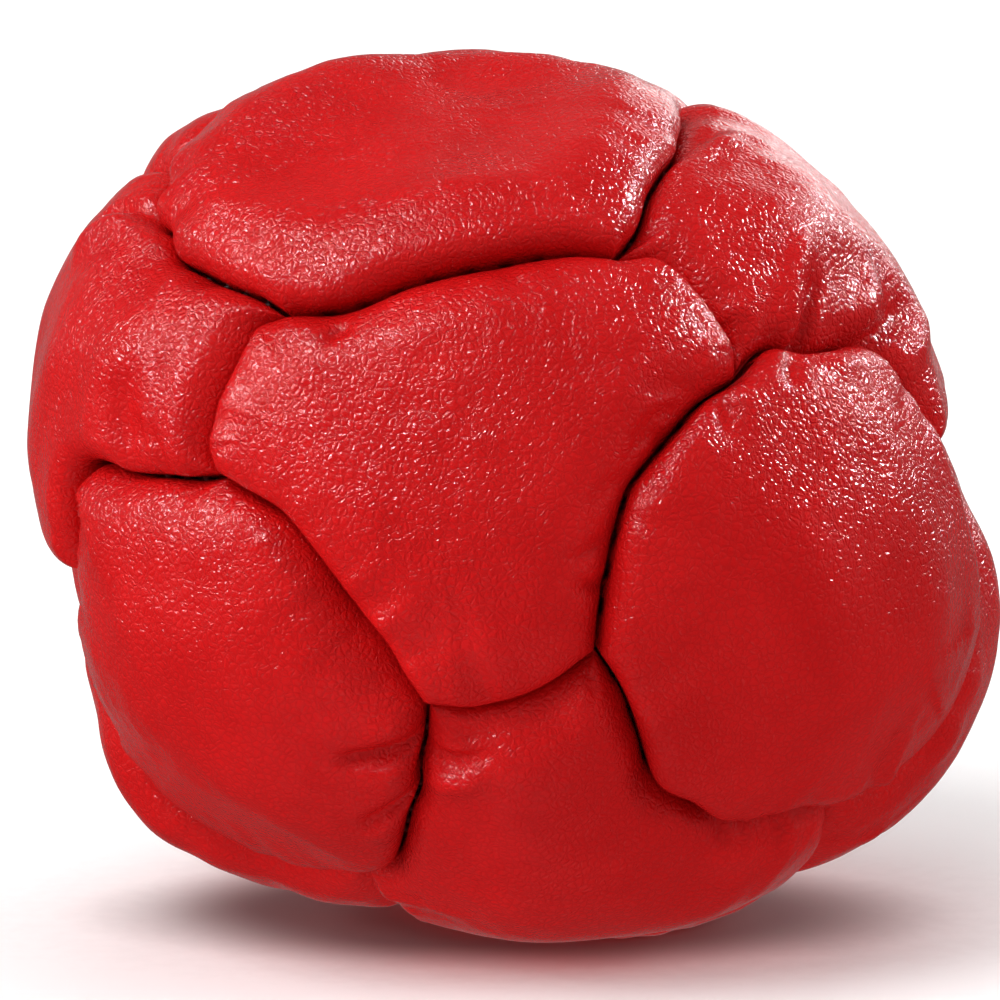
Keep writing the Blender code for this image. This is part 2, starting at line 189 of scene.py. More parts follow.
# Folds by panel: height in millimetres (below zero for a valley), width in millimetres, and the
# places along it, in the photograph's pixels, with the degrees beyond the outline where it is hidden
FOLDS = {
    "upper_left": (
        (0.75, 1.1, ((158, 228), (140, 217), (120, 219), (100, 232), (82, 250))),
        (-1.00, 0.6, ((165, 222), (150, 207), (134, 204), (116, 208), (96, 224))),
        (0.50, 1.5, ((158, 180), (146, 190), (136, 200))),
        (-0.75, 1.0, ((118, 474), (115, 448), (114, 415), (122, 384))),
        (0.40, 2.3, ((84, 412), (104, 365), (132, 330), (168, 300))),
        (0.40, 1.6, ((178, 450), (176, 410), (190, 372), (214, 340))),
        (-0.45, 0.5, ((134, 474), (130, 446), (127, 420))),
        (-0.45, 0.45, ((150, 474), (148, 450), (143, 430))),
        (-0.60, 0.6, ((194, 268), (184, 262), (174, 252))),
        (-0.80, 0.8, ((90, 466), (72, 470), (58, 478))),
        (0.40, 2.5, ((40, 490), (48, 520))),
        (-0.90, 2.0, ((66, 560, 4), (78, 576, 4))),
        (0.40, 3.5, ((124, 175, 4), (150, 150, 4))),
        (-0.40, 4.0, ((30, 380, 4), (30, 440, 4))),
    ),
    "front": (
        (-0.50, 0.6, ((336, 314), (331, 322), (326, 330))),
        (0.40, 1.1, ((288, 318), (304, 316), (318, 324))),
        (-0.35, 0.5, ((690, 408), (664, 418), (640, 436))),
        (-0.35, 0.5, ((676, 432), (652, 440), (630, 462))),
        (-0.25, 0.6, ((700, 392), (678, 388), (655, 392))),
        (-0.25, 0.5, ((632, 478), (612, 490), (600, 508))),
        (-0.40, 0.5, ((610, 545), (592, 556), (574, 560))),
        (-0.50, 0.6, ((610, 592), (596, 592), (584, 588))),
        (0.40, 1.2, ((716, 348), (722, 368), (708, 384))),
        (-0.30, 0.7, ((356, 604), (372, 606), (388, 600))),
    ),
    "left": (
        (0.60, 1.4, ((236, 508), (262, 535), (288, 560), (312, 585))),
        (-0.50, 0.6, ((222, 476), (244, 494), (262, 512))),
        (-0.85, 1.7, ((318, 552), (345, 600), (368, 640), (394, 692))),
        (-1.00, 0.55, ((421, 750), (400, 757), (369, 765), (340, 768))),
        (-0.30, 0.4, ((404, 768), (385, 772), (371, 773))),
        (-0.90, 0.55, ((415, 812), (392, 823), (360, 836))),
        (0.40, 1.2, ((405, 785), (385, 790))),
        (0.35, 1.2, ((400, 735), (380, 738))),
        (-0.40, 0.6, ((368, 612), (352, 606), (338, 600))),
        (0.30, 1.2, ((388, 842), (370, 850))),
    ),
    "lower_front": (
        (0.40, 0.7, ((430, 716), (450, 726), (480, 724), (520, 710), (560, 692))),
        (-0.40, 0.7, ((428, 734), (455, 743), (490, 740))),
        (-0.80, 0.6, ((420, 768), (448, 772), (484, 763))),
        (-0.40, 0.45, ((422, 752), (445, 755), (470, 749))),
        (0.55, 0.8, ((424, 799), (448, 795), (474, 787))),
        (-1.30, 1.0, ((700, 806), (714, 818), (726, 822))),
        (0.45, 0.7, ((696, 828), (716, 840), (742, 832))),
        (-0.50, 0.4, ((742, 818), (744, 838), (736, 858))),
        (-0.50, 0.4, ((758, 816), (763, 838), (756, 862))),
        (-0.50, 0.4, ((776, 814), (782, 836), (776, 860))),
        (-0.45, 0.4, ((794, 810), (800, 830), (794, 852))),
        (0.15, 1.4, ((375, 864), (389, 888), (408, 907), (440, 921))),
        (-0.40, 0.5, ((600, 664), (596, 684), (600, 704))),
        (0.30, 1.5, ((585, 680), (600, 720), (622, 760), (650, 790))),
    ),
    "upper_right": (
        (-0.85, 0.6, ((825, 350), (826, 325), (824, 300), (826, 274))),
        (0.55, 0.8, ((804, 338), (803, 305), (800, 272), (806, 244))),
        (0.65, 1.3, ((880, 320), (884, 296), (878, 272))),
        (-0.80, 0.7, ((868, 352), (884, 342), (902, 326), (916, 300))),
        (0.50, 1.2, ((926, 366), (930, 340, 2), (930, 316, 3))),
        (-0.70, 0.5, ((756, 354), (749, 336), (744, 312))),
        (-0.35, 0.5, ((770, 348), (762, 330), (762, 316))),
        (0.45, 1.0, ((684, 142), (706, 130), (740, 126), (766, 136))),
        (-0.35, 0.7, ((682, 128), (704, 116), (730, 112))),
        (0.50, 0.8, ((638, 242), (650, 232))),
        (-0.35, 0.5, ((636, 232), (650, 218), (664, 208))),
        (-0.65, 5.5, ((935, 330, 4), (900, 262, 4), (829, 182, 4), (770, 135, 4))),
    ),
    "right": (
        (-0.70, 0.7, ((736, 398), (740, 412), (738, 430))),
        (-0.60, 0.5, ((806, 350), (804, 362), (800, 376))),
        (0.35, 1.0, ((764, 358), (752, 374))),
        (0.40, 1.2, ((850, 352), (862, 362))),
        (-0.30, 0.45, ((628, 500), (644, 492), (664, 490))),
        (-0.30, 0.45, ((640, 470), (654, 466), (674, 470))),
    ),
    "upper_rear": (
        (-0.60, 4.0, ((196, 124, 5), (231, 99, 5), (262, 80, 5))),
        (0.40, 3.5, ((140, 160, 5), (160, 145, 5))),
        (-0.9, 5.0, ((360, 48, 6), (470, 42, 6), (560, 48, 6), (640, 75, 6))),
    ),
    "lower_left": (
        (-2.4, 4.5, ((50, 560, 15), (60, 610, 15), (76, 670, 12))),
        (2.2, 5.0, ((110, 790, 6), (150, 825, 6), (200, 850, 6))),
        (0.45, 1.0, ((140, 790), (160, 806), (186, 826))),
        (-0.40, 0.6, ((150, 786), (172, 806), (196, 822))),
    ),
    "lower_right": (
        (-3.0, 4.5, ((950, 410, 16), (966, 450, 18), (977, 500, 18), (990, 550, 14))),
        (0.7, 5.0, ((985, 700, 5), (955, 760, 5), (915, 810, 5))),
        (0.60, 1.4, ((964, 722), (960, 744))),
        (0.50, 1.3, ((878, 778), (896, 772))),
        (-0.50, 0.8, ((996, 612), (990, 624), (980, 630))),
    ),
    "top": (
        (-1.80, 4.5, ((672, 94, 3), (600, 72, 3), (512, 55, 3), (440, 49, 3), (380, 54, 3))),
        (-0.50, 0.8, ((684, 128), (668, 134), (650, 134))),
        (-0.25, 0.5, ((172, 202), (184, 202))),
    ),
}
MILLIMETRE = 0.001

# Camera: height in degrees, distance, and the place in the picture of the ball's middle
CAMERA_RISE = math.radians(12)
CAMERA_DISTANCE = 0.5
PICTURE_SIZE = 1000
MIDDLE_X = 509
MIDDLE_Y = 496
SENSOR = 0.036
LENS = 0.3175
NEAREST_SEEN = 0.01


def unit(vectors):
    return vectors / np.linalg.norm(vectors, axis=-1, keepdims=True)


def smooth(share):
    share = np.clip(share, 0, 1)
    return share * share * (3 - 2 * share)


def to_array(vector):
    return np.array(vector, float)


def body_radius(directions):
    """Distance from the ball's middle to the plain leaning ellipsoid, for each direction."""
    x, y, z = directions[..., 0], directions[..., 1], directions[..., 2]
    along = (x * math.cos(LEAN) - z * math.sin(LEAN)) / HALF_LENGTH
    across = y / HALF_DEPTH
    upward = (x * math.sin(LEAN) + z * math.cos(LEAN)) / HALF_HEIGHT
    return 1 / np.sqrt(along**2 + across**2 + upward**2)


def compass(bearing, height):
    turn, rise = math.radians(bearing), math.radians(height)
    return Vector((math.sin(turn) * math.cos(rise), -math.cos(turn) * math.cos(rise), math.sin(rise)))


def ideal_corner(near, far):
    direction = AXES[near] * NEAR_SHARE + AXES[far] * FAR_SHARE
    direction.rotate(NET_TURN)
    return direction.normalized()


def corner_direction(corner):
    """A seen corner lies where it is seen, and a hidden one is pulled along by its neighbours."""
    if corner in SEEN_CORNERS:
        return compass(*SEEN_CORNERS[corner])
    near, far = corner
    beside = [name for name in AXES if AXES[name].dot(AXES[near]) == 0 and AXES[name].dot(AXES[far]) == 0]
    joined = [(far, near)] + [(near, name) for name in beside]
    seen = [other for other in joined if other in SEEN_CORNERS]
    shift = Vector((0, 0, 0))
    for other in seen:
        shift += (compass(*SEEN_CORNERS[other]) - ideal_corner(*other)) / len(seen)
    return (ideal_corner(*corner) + shift * PULL_SHARE).normalized()


def panel_corners(name):
    """Corners of a panel in order, the first to the second being one of its seams."""
    if name in HEXAGONS:
        a, b, c = HEXAGONS[name]
        return [(a, b), (b, a), (b, c), (c, b), (c, a), (a, c)]
    first = next(other for other in AXES if AXES[other].dot(AXES[name]) == 0)
    second = next(other for other in AXES if AXES[name].cross(AXES[first]) == AXES[other])
    across = [next(o for o in AXES if AXES[o] == -AXES[axis]) for axis in (first, second)]
    return [(name, first), (name, second), (name, across[0]), (name, across[1])]


def panel_middle(name):
    total = Vector((0, 0, 0))
    for corner in panel_corners(name):
        total += corner_direction(corner)
    return to_array(total.normalized())


def seen_direction(spot, lift):
    """Direction in which the camera sees a pixel's place on the ball, grown by the lift.

    A third number in the spot turns the direction that many degrees further from the camera.
    """
    per_pixel = SENSOR / PICTURE_SIZE / LENS
    forward = np.array((0, math.cos(CAMERA_RISE), -math.sin(CAMERA_RISE)))
    upward = np.array((0, math.sin(CAMERA_RISE), math.cos(CAMERA_RISE)))
    sight = forward + upward * (MIDDLE_Y - spot[1]) * per_pixel
    sight[0] = (spot[0] - MIDDLE_X) * per_pixel
    eye = -forward * CAMERA_DISTANCE
    cosine, sine = math.cos(LEAN), math.sin(LEAN)
    lean = np.array(((cosine, 0, -sine), (0, 1, 0), (sine, 0, cosine)))
    sizes = np.array((HALF_LENGTH, HALF_DEPTH, HALF_HEIGHT)) * (1 + lift)
    start, step = lean @ eye / sizes, lean @ sight / sizes
    along = -(start @ step) / (step @ step)
    inside = along**2 - (start @ start - 1) / (step @ step)
    along -= math.sqrt(max(inside, 0))
    beyond = math.radians(sum(spot[2:]))
    return unit(unit(eye + sight * along) * math.cos(beyond) + forward * math.sin(beyond))


def find_seams():
    """Each seam once, as {(panel, panel): (start corner, end corner)}."""
    found = {}
    for i, one in enumerate(PANELS):
        for other in PANELS[i + 1 :]:
            shared = [corner for corner in panel_corners(one) if corner in panel_corners(other)]
            if len(shared) == 2:
                key = (other, one) if (other, one) in SEEN_BOW_SHARES else (one, other)
                found[key] = tuple(shared)
    return found


SEAMS = find_seams()
MIDDLES = {name: panel_middle(name) for name in PANELS}
LOWEST_FACE = HOLE_DEPTH - HOLE_SIZE
BACK_MARGIN = 0.0002
LOWEST_BACK = HOLE_DEPTH - HOLE_SIZE / 2 - BACK_MARGIN


def between_stops(stops, place):
    """Smooth curve through evenly spaced stops, at places from 0 to 1."""
    stops = np.array(stops, float)
    padded = np.concatenate(([2 * stops[0] - stops[1]], stops, [2 * stops[-1] - stops[-2]]))
    spans = len(stops) - 1
    step = np.minimum((place * spans).astype(int), spans - 1)
    part = place * spans - step
    before, start, end, after = (padded[step + i] for i in range(4))
    slope, bend = (end - before) / 2, (after - start) / 2
    return (
        start
        + slope * part
        + (3 * (end - start) - 2 * slope - bend) * part**2
        + (2 * (start - end) + slope + bend) * part**3
    )


def seam_points(key, places):
    """Directions along a seam at places from 0 to 1, with the outward lift at each."""
    ends = SEAMS[key]
    usual = LONG_BOW_SHARES if key[0] in AXES else SHORT_BOW_SHARES
    shares = (0.0, *SEEN_BOW_SHARES.get(key, usual), 0.0)
    start, end = (corner_direction(corner) for corner in ends)
    lifts = [CORNER_LIFT_SHARES.get(corner, 0.0) for corner in ends]
    away = start.cross(end).normalized()
    if away.dot(Vector(MIDDLES[key[0]])) > 0:
        away.negate()
    angle = start.angle(end)
    places = np.asarray(places, float)[:, None]
    along = to_array(start) * np.sin((1 - places) * angle) + to_array(end) * np.sin(places * angle)
    bow = between_stops(shares, places[:, 0])[:, None]
    directions = unit(along / math.sin(angle) + to_array(away) * bow * angle)
    places = places[:, 0]
    lift = lifts[0] + (lifts[1] - lifts[0]) * places
    return directions, lift + SEAM_LIFT_SHARES.get(key, 0.0) * np.sin(math.pi * places) ** 2


def panel_sides(name):
    """For each side of a panel in order: its seam, and whether it runs from the seam's start."""
    corners = panel_corners(name)
    sides = []
    for index, start in enumerate(corners):
        end = corners[(index + 1) % len(corners)]
        for key, ends in SEAMS.items():
            if set(ends) == {start, end}:
                sides.append((key, ends[0] == start))
    return sides


def side_neighbour(name, index):
    one, other = panel_sides(name)[index][0]
    return other if one == name else one


def side_points(side, places):
    key, forward = side
    return seam_points(key, places if forward else 1 - places)


# Each panel's sides, finely sampled for measuring distances to them
SAMPLE_COUNT = 90
SIDE_LINES = {
    name: [side_points(side, np.linspace(0, 1, SAMPLE_COUNT)) for side in panel_sides(name)]
    for name in PANELS
}


def distance_to_line(directions, line):
    """Distance from each direction to a line on the ball, with the line's nearest point."""
    nearest = np.argmax(directions @ line.T, axis=1)
    best = np.full(len(directions), np.inf)
    place = np.zeros_like(directions)
    for step in (-1, 1):
        start = line[nearest]
        end = line[np.clip(nearest + step, 0, len(line) - 1)]
        run = end - start
        length = np.maximum((run**2).sum(1), 1e-18)
        part = np.clip(((directions - start) * run).sum(1) / length, 0, 1)
        point = start + run * part[:, None]
        gap = np.linalg.norm(directions - point, axis=1)
        closer = gap < best
        best[closer] = gap[closer]
        place[closer] = point[closer]
    return best * body_radius(directions), place


def waves(places, size, seed, count=16):
    """Soft random field over points, about 1 high, with lumps of about the given size."""
    random = np.random.RandomState(seed)
    turns = unit(random.normal(size=(count, 3))) * (2 * math.pi / size)
    turns *= random.uniform(0.6, 1.3, size=(count, 1))
    phases = random.uniform(0, 2 * math.pi, count)
    return np.cos(places @ turns.T + phases).sum(1) / math.sqrt(count / 2)


# How panels swell, wrinkle and pucker: each height with the size of its lumps, its reach and its seed
SIDE_POWER = 5
FOLD_SAMPLES = 24
FOLD_END_SHARE = 0.35
UNDULATION = 0.00010
UNDULATION_SIZE = 0.009
UNDULATION_SEED = 3
WRINKLE = 0.000025
WRINKLE_SIZE = 0.0022
WRINKLE_SEED = 7
WRINKLE_WAVES = 40
WRINKLE_PATCH_SEED = 11
PUCKER = 0.00010
PUCKER_SIZE = 0.0026
PUCKER_REACH = 0.0034
TUCK = 0.00005
TUCK_SIZE = 0.0011
TUCK_REACH = 0.0014
TUCK_SEED = 900
GATHER_SIZE = 0.011
GATHER_SEED = 500
GATHER_MIDDLE = 0.7
GATHER_SWING = 0.8
GATHER_LEAST = 0.1
GATHER_MOST = 2


def seam_lean(name, neighbour):
    """How far a panel's edge lies over its neighbour's, or below zero how far it lies under it."""
    usual = USUAL_LEAN if PANELS.index(name) < PANELS.index(neighbour) else -USUAL_LEAN
    return SEAM_LEANS.get((name, neighbour), -SEAM_LEANS.get((neighbour, name), -usual))


def seam_field(name, directions):
    """What the seams do to a panel: soft distance to them, their outward lift, rise and sideways push."""
    closeness = np.zeros(len(directions))
    lift = np.zeros(len(directions))
    rise = np.zeros(len(directions))
    push = np.zeros_like(directions)
    for index, (line, lifts) in enumerate(SIDE_LINES[name]):
        gap, place = distance_to_line(directions, line)
        weight = np.maximum(gap, 1e-6) ** -SIDE_POWER
        closeness += weight
        which = np.argmax(place @ line.T, axis=1)
        lift += weight * lifts[which]
        seed = 10 * PANELS.index(name) + index
        spot = place * body_radius(place)[:, None]
        ends = np.minimum(
            np.linalg.norm(place - line[0], axis=1), np.linalg.norm(place - line[-1], axis=1)
        ) * HALF_LENGTH
        start = smooth(gap / LIP_WIDTH) * smooth(ends / LIP_WIDTH)
        gathered = GATHER_MIDDLE + GATHER_SWING * waves(spot, GATHER_SIZE, seed + GATHER_SEED)
        gathered = np.clip(gathered, GATHER_LEAST, GATHER_MOST)
        rise += PUCKER * gathered * waves(spot, PUCKER_SIZE, seed) * np.exp(-gap / PUCKER_REACH) * start
        tucks = waves(spot, TUCK_SIZE, seed + TUCK_SEED)
        rise += TUCK * gathered * tucks * np.exp(-gap / TUCK_REACH) * start
        neighbour = side_neighbour(name, index)
        lean = seam_lean(name, neighbour) * MILLIMETRE
        edge_share = UPPER_EDGE_SHARE if lean > 0 else LOWER_EDGE_SHARE
        rise += edge_share * abs(lean) * np.exp(-((gap / EDGE_REACH) ** 2))
        key = tuple(sorted((PANELS.index(name), PANELS.index(neighbour))))
        lean *= 1 + LEAN_WAVE_SHARE * waves(spot, LEAN_WAVE, 100 * key[0] + key[1])
        toward = place - directions
        toward = toward / np.maximum(np.linalg.norm(toward, axis=1), 1e-9)[:, None]
        push += toward * (lean * np.exp(-((gap / LEAN_REACH) ** 2)) * smooth(ends / LEAN_FADE))[:, None]
    return closeness ** (-1 / SIDE_POWER), lift / closeness, rise, push


def fold_rises(name, directions):
    """Outward rise from the folds that cross a panel; each fades out at its ends."""
    lift = PANEL_LIFT_SHARES.get(name, 0.0) / 2
    places = directions * HALF_DEPTH
    total = np.zeros(len(directions))
    for height, width, spots in FOLDS.get(name, ()):
        stops = np.array([seen_direction(spot, lift) for spot in spots])
        share = np.linspace(0, 1, FOLD_SAMPLES)
        line = unit(np.stack([between_stops(stops[:, axis], share) for axis in range(3)], 1))
        gaps = np.linalg.norm(places[:, None, :] - line[None, :, :] * HALF_DEPTH, axis=2)
        strength = FOLD_END_SHARE + (1 - FOLD_END_SHARE) * np.sin(math.pi * share) ** 0.5
        total += height * MILLIMETRE * (np.exp(-((gaps / (width * MILLIMETRE)) ** 2)) * strength).max(1)
    return total


def surface(name, directions):
    """A panel's outer face: its radius, the plain ball's, the seams' distance and the sideways push."""
    gap, edge_lift, rise, push = seam_field(name, directions)
    middle_gap = MIDDLE_GAPS[name]
    crown = smooth((gap - CROWN_START) / (middle_gap - CROWN_START))
    lift = edge_lift * (1 - crown) + PANEL_LIFT_SHARES.get(name, 0.0) * crown
    inset = SEAM_GAP_SHARE * middle_gap
    roll = np.clip((gap - inset) / LIP_WIDTH, 0, 1)
    height = np.sqrt(1 - (1 - roll) ** 2)
    rise -= LIP_DEPTH * (1 - height) + SHOULDER_DROP * (1 - smooth(gap / SHOULDER_WIDTH))
    radius = body_radius(directions)
    place = directions * radius[:, None]
    open_share = smooth(gap / SHOULDER_WIDTH)
    rise += UNDULATION * waves(place, UNDULATION_SIZE, UNDULATION_SEED) * open_share
    wrinkles = waves(place, WRINKLE_SIZE, WRINKLE_SEED, WRINKLE_WAVES)
    patches = 0.5 + 0.5 * waves(place, UNDULATION_SIZE, WRINKLE_PATCH_SEED)
    rise += WRINKLE * wrinkles * patches * open_share
    rise += fold_rises(name, directions)
    plain = radius * (1 + lift)
    return plain + np.maximum(rise, -LOWEST_FACE), plain, gap, push * height[:, None]


def settle(points):
    """Draws points that lie below the floor towards the ball's middle, until they lie on it."""
    low = points[:, 2] < FLOOR
    points[low] *= (FLOOR / points[low, 2])[:, None]
    return points


MIDDLE_GAPS = {name: seam_field(name, MIDDLES[name][None, :])[0][0] for name in PANELS}


def steps():
    share = np.linspace(0, 1, STEP_COUNT + 1)
    return SEAM_CLOSENESS * share + (1 - SEAM_CLOSENESS) * share**2


def outline(name, inset_share):
    """The panel's edge in order, drawn towards its middle: each corner's two arms of directions."""
    places = steps() / 2
    middle = MIDDLES[name]
    arms = []
    for side in panel_sides(name):
        ahead = side_points(side, places)[0]
        behind = side_points(side, 1 - places)[0]
        arms.append([unit(points + (middle - points) * inset_share) for points in (ahead, behind)])
    return arms


def corner_grids(name, inset_share):
    """A panel's net of directions: for each corner a grid from the seams (0) to the middle (last)."""
    arms = outline(name, inset_share)
    middle = MIDDLES[name]
    share = steps()
    u, v = share[:, None, None], share[None, :, None]
    grids = []
    for index in range(len(arms)):
        along_u = arms[index][0]
        along_v = arms[index - 1][1]
        to_middle_v = unit(along_u[-1] + (middle - along_u[-1]) * share[:, None])
        to_middle_u = unit(along_v[-1] + (middle - along_v[-1]) * share[:, None])
        grid = (1 - v) * along_u[:, None, :] + v * to_middle_u[:, None, :]
        grid = grid + (1 - u) * along_v[None, :, :] + u * to_middle_v[None, :, :]
        grid = grid - (1 - u) * (1 - v) * along_u[0] - u * v * middle
        grid = grid - u * (1 - v) * along_u[-1] - (1 - u) * v * along_v[-1]
        grids.append(unit(grid))
    return grids


def grid_faces(first, rows, columns):
    i, j = np.meshgrid(np.arange(rows - 1), np.arange(columns - 1), indexing="ij")
    base = first + (i * columns + j).ravel()
    return np.stack((base, base + columns, base + columns + 1, base + 1), 1)


MERGE = 1e-6


class Body:
    """Points and faces of one piece, gathered sheet by sheet and then closed."""

    def __init__(self):
        self.points = []
        self.faces = []
        self.count = 0

    def add(self, points, faces):
        self.points.append(points)
        self.faces.append(faces)
        self.count += len(points)

    def add_sheet(self, grid):
        rows, columns = grid.shape[:2]
        self.add(grid.reshape(-1, 3), grid_faces(self.count, rows, columns))

    def make(self, name, material, caps=()):
        """Makes the object, its sheets sewn together and its faces pointing out."""
        data = bpy.data.meshes.new(name)
        points = np.concatenate(self.points) + BALL_MIDDLE
        faces = np.concatenate(self.faces)
        data.from_pydata(points, [], faces.tolist() + list(caps))
        mesh = bmesh.new()
        mesh.from_mesh(data)
        bmesh.ops.remove_doubles(mesh, verts=mesh.verts, dist=MERGE)
        bmesh.ops.recalc_face_normals(mesh, faces=mesh.faces)
        mesh.to_mesh(data)
        mesh.free()
        data.shade_smooth()
        data.materials.append(material)
        item = bpy.data.objects.new(name, data)
        bpy.context.scene.collection.objects.link(item)
        return item


def ring_of(name, inset_share):
    """The panel's drawn-in edge as one closed line of directions, corner by corner."""
    ring = []
    for ahead, behind in outline(name, inset_share):
        ring.append(ahead[:-1])
        ring.append(behind[:0:-1])
    return np.concatenate(ring)


def hole_columns(name):
    """For each stretch of the edge line, whether a stitch hole runs through it."""
    places = steps() / 2
    flags = []
    for side in panel_sides(name):
        marks = np.concatenate((places[:-1], 1 - places[::-1]))
        middles = (marks[:-1] + marks[1:]) / 2
        away = np.abs(middles[:, None] - stitch_places(side[0])[None, :]).min(1) * seam_length(side[0])
        flags.append(away < HOLE_SIZE / 2)
    return np.concatenate(flags)


def seam_length(key):
    line = seam_points(key, np.linspace(0, 1, SAMPLE_COUNT))[0]
    line = line * body_radius(line)[:, None]
    return np.linalg.norm(np.diff(line, axis=0), axis=1).sum()


def stitch_places(key):
    """Where a seam's stitches lie along it, clear of the stitches that meet at its corners."""
    count = LONG_STITCH_COUNT if key[0] in AXES else SHORT_STITCH_COUNT
    start = STITCH_START / seam_length(key)
    return np.linspace(start, 1 - start, count)


def wall_rows(name, ring, top):
    """Rows down a turned-in wall from its top: the hole's upper and lower edge, and the tip."""
    _, lift, _, _ = seam_field(name, ring)
    reach = body_radius(ring) * (1 + lift)
    rows = [top]
    for depth in (HOLE_DEPTH - HOLE_SIZE / 2, HOLE_DEPTH + HOLE_SIZE / 2, TIP_DEPTH):
        rows.append(settle(ring * (reach - depth)[:, None]))
    return rows


def add_walls(body, front, back, holes):
    """Turned-in edge: both its walls, the tip between them, and a hole for each stitch."""
    count = len(holes)
    first = body.count
    points = np.concatenate(front + back)
    after = (np.arange(count) + 1) % count
    now = np.arange(count)

    def spot(side, row, column):
        return first + (side * 4 + row) * count + column

    faces = []
    for side in (0, 1):
        for row in range(3):
            kept = ~holes if row == 1 else np.ones(count, bool)
            upper = (spot(side, row, now), spot(side, row, after))
            lower = (spot(side, row + 1, after), spot(side, row + 1, now))
            faces.append(np.stack(upper + lower, 1)[kept])
    faces.append(np.stack((spot(0, 3, now), spot(0, 3, after), spot(1, 3, after), spot(1, 3, now)), 1))
    for row in (1, 2):
        rim = (spot(0, row, now), spot(0, row, after), spot(1, row, after), spot(1, row, now))
        faces.append(np.stack(rim, 1)[holes])
    edge = holes != np.roll(holes, 1)
    jamb = (spot(0, 1, now), spot(0, 2, now), spot(1, 2, now), spot(1, 1, now))
    faces.append(np.stack(jamb, 1)[edge])
    body.add(points, np.concatenate(faces))


def outer_face(name, directions):
    radius, _, _, push = surface(name, directions)
    return settle(directions * radius[:, None] + push)


def inner_face(name, directions):
    radius, plain, gap, push = surface(name, directions)
    roll = np.clip((gap - BACK_SHARE * MIDDLE_GAPS[name]) / INNER_ROLL, 0, 1)
    depth = LEATHER + INNER_ROLL * (1 - np.sqrt(1 - (1 - roll) ** 2))
    radius = np.maximum(radius - depth, plain - LOWEST_BACK)
    points = directions * radius[:, None] + push
    low = points[:, 2] < FLOOR + LEATHER
    points[low] *= ((FLOOR + LEATHER) / points[low, 2])[:, None]
    return points


def make_panel(name, material):
    body = Body()
    size = STEP_COUNT + 1
    for face, share in ((outer_face, SEAM_GAP_SHARE), (inner_face, BACK_SHARE)):
        for grid in corner_grids(name, share):
            points = face(name, grid.reshape(-1, 3))
            body.add_sheet(points.reshape(size, size, 3))
    front_ring, back_ring = (ring_of(name, share) for share in (SEAM_GAP_SHARE, BACK_SHARE))
    front = wall_rows(name, front_ring, outer_face(name, front_ring))
    back = wall_rows(name, back_ring, inner_face(name, back_ring))
    add_walls(body, front, back, hole_columns(name))
    label = name + "_panel"
    item = body.make(label, material)
    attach(item, "root")
    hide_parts(name + ("_square" if name in AXES else "_hexagon"))


# Thread: the steps of its bends and its length, its three twisted strands, and its room in the holes
BEND_STEPS = 5
THREAD_STEP = 0.00025
THREAD_SIDES = 9
STRANDS = 3
STRAND_DEPTH_SHARE = 0.14
TWIST = 0.0024
THREAD_ROOM = 1.2
THREAD_END_SHARE = 0.04
FIRST_SIDE = (0.3, 0.5, 0.8)


def stitch_path(key):
    """Corners of a whip stitch: through both walls, round their tips, and on to the next holes."""
    middles = [MIDDLES[name] for name in key]
    places = stitch_places(key)
    directions, lifts = seam_points(key, places)
    corners = []
    across = (THREAD_CLEARANCE + THREAD / 2) * THREAD_ROOM
    under = TIP_DEPTH + THREAD_CLEARANCE + THREAD / 2
    for direction, lift in zip(directions, lifts):
        reach = body_radius(direction) * (1 + lift)
        walls = [unit(direction + (middle - direction) * BACK_SHARE) for middle in middles]
        for side, depth in ((0, under), (0, HOLE_DEPTH), (1, HOLE_DEPTH), (1, under)):
            outward = unit(walls[side] - walls[1 - side])
            corners.append(walls[side] * (reach - depth) + outward * across)
    return np.array(corners)


def rounded_path(corners):
    """A line with rounded bends through its corners, at nearly even steps."""
    points = [corners[0]]
    for before, corner, after in zip(corners, corners[1:], corners[2:]):
        enter = corner + unit(before - corner) * STITCH_BEND
        leave = corner + unit(after - corner) * STITCH_BEND
        for share in np.linspace(0, 1, BEND_STEPS):
            first = enter + (corner - enter) * share
            second = corner + (leave - corner) * share
            points.append(first + (second - first) * share)
    points.append(corners[-1])
    points = np.array(points)
    lengths = np.linalg.norm(np.diff(points, axis=0), axis=1)
    along = np.concatenate(([0], np.cumsum(lengths)))
    marks = np.linspace(0, along[-1], int(along[-1] / THREAD_STEP))
    return np.stack([np.interp(marks, along, points[:, axis]) for axis in range(3)], 1)


